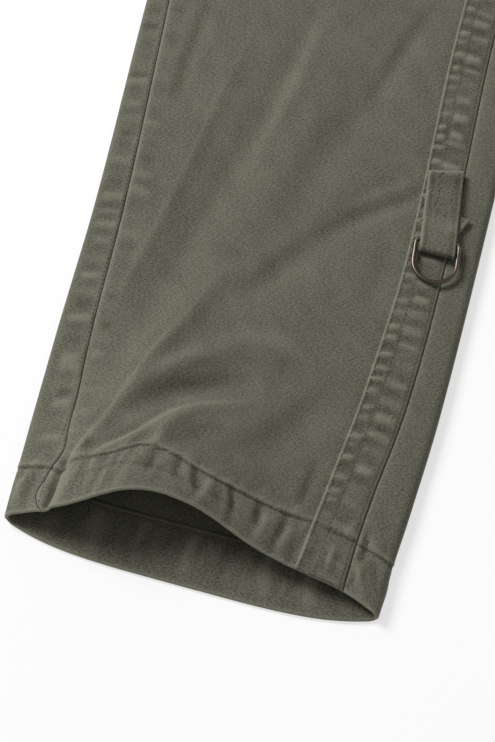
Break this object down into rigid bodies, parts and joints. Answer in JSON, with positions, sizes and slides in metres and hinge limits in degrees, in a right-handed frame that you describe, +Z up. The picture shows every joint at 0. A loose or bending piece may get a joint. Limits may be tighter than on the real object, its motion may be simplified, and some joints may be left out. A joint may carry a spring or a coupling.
{
  "type": "cargo pants",
  "caption": "Cargo pants laid flat, front up: straight legs with a topstitched side tape, thigh pockets and a D-ring on a folded tab; the front of each hem lifted.",
  "frame": {"origin": "centre of the garment's bounding box, on the surface it lies on", "axes": "+Y from the hems to the waist, +Z up from the back to the front, +X towards the wearer's left leg"},
  "size_m": [0.6916, 1.0439, 0.0406],
  "materials": {
    "garment_cloth": "garment-washed cotton twill, olive grey-green, matt",
    "thread": "matt polyester sewing thread in the cloth's colour",
    "ring_metal": "antique nickel, brown-grey, satin",
    "button_resin": "dark olive resin, satin"
  },
  "bodies": {
    "trousers": {"front_left": "garment_cloth", "back_left": "garment_cloth", "hem_left": "garment_cloth", "tape_left": "garment_cloth", "tab_left": "garment_cloth", "cargo_pocket_left": "garment_cloth", "cargo_flap_left": "garment_cloth", "hand_pocket_left": "garment_cloth", "flap_button_left": "button_resin", "front_right": "garment_cloth", "back_right": "garment_cloth", "hem_right": "garment_cloth", "tape_right": "garment_cloth", "tab_right": "garment_cloth", "cargo_pocket_right": "garment_cloth", "cargo_flap_right": "garment_cloth", "hand_pocket_right": "garment_cloth", "flap_button_right": "button_resin", "fly": "garment_cloth", "waistband": "garment_cloth", "belt_loop_front_left": "garment_cloth", "belt_loop_front_right": "garment_cloth", "belt_loop_back_left": "garment_cloth", "belt_loop_back_right": "garment_cloth", "belt_loop_back_centre": "garment_cloth", "waist_button": "button_resin"},
    "ring_left": {"d_ring_left": "ring_metal"},
    "ring_right": {"d_ring_right": "ring_metal"}
  },
  "joints": [
    {"name": "ring_left_swing", "type": "hinge", "parent": "trousers", "child": "ring_left", "pos_m": [0.30354, -0.26029, 0.01491], "axis": [-0.9817, -0.1845, 0.0465], "range_deg": [0, 160]},
    {"name": "ring_right_swing", "type": "hinge", "parent": "trousers", "child": "ring_right", "pos_m": [-0.30354, -0.26029, 0.01491], "axis": [-0.9817, 0.1845, -0.0465], "range_deg": [0, 160]}
  ]
}
